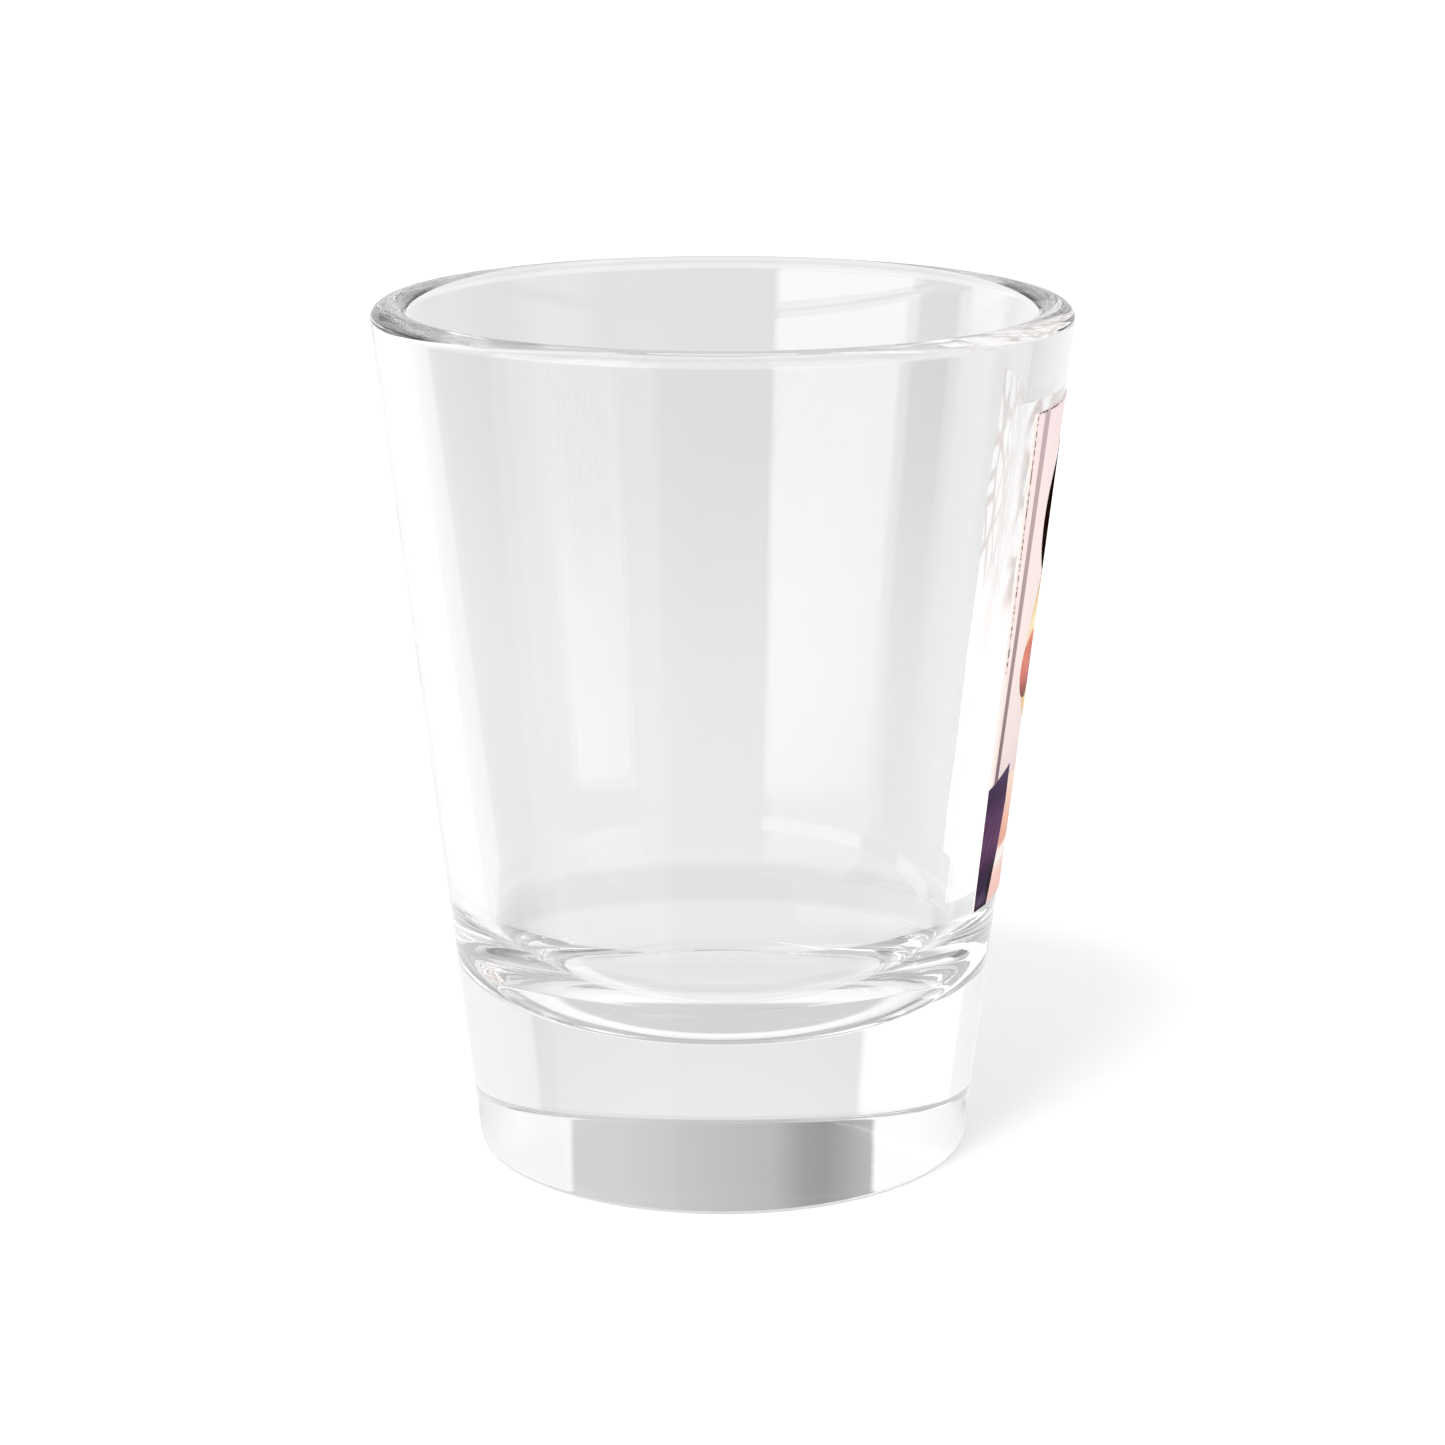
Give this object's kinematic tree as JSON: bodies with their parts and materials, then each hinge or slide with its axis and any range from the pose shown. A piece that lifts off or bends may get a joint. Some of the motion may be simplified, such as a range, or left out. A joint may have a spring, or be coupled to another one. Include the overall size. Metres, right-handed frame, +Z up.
{
  "type": "shot glass",
  "caption": "Heavy-base tapered shot glass in clear pressed glass, with a sunset picture printed in ink films on one side of its wall.",
  "frame": {"origin": "centre of the foot's flat underside, on the surface that the glass stands on", "axes": "+Z up along the glass's own axis to the rim, +X out through the middle of the printed picture, +Y to the picture's right as seen from outside"},
  "size_m": [0.0482, 0.0482, 0.06],
  "materials": {
    "clear_glass": "clear, fire-polished, gloss",
    "white_ink": "cured white ink, satin gloss",
    "sky_pink": "cured pale pink ink, satin gloss",
    "glow_yellow": "cured yellow ink, satin gloss",
    "sun_coral": "cured coral ink, satin gloss",
    "headland_purple": "cured dark purple ink, satin gloss",
    "sea_peach": "cured peach ink, satin gloss",
    "sand_salmon": "cured salmon ink, satin gloss",
    "tree_black": "cured black ink, satin gloss",
    "twig_grey": "cured grey ink, satin gloss",
    "blossom_pink": "cured pink ink, satin gloss",
    "post_mauve": "cured mauve ink, satin gloss",
    "outline_brown": "cured dark brown ink, satin gloss"
  },
  "bodies": {
    "root": {"glass_body": "clear_glass", "white_underbase": "white_ink", "sky_ink": "sky_pink", "glow_ink": "glow_yellow", "sun_ink": "sun_coral", "headland_ink": "headland_purple", "sea_ink": "sea_peach", "sand_ink": "sand_salmon", "tree_ink": "tree_black", "twig_ink": "twig_grey", "blossom_ink": "blossom_pink", "post_ink": "post_mauve", "outline_ink": "outline_brown"}
  },
  "joints": []
}
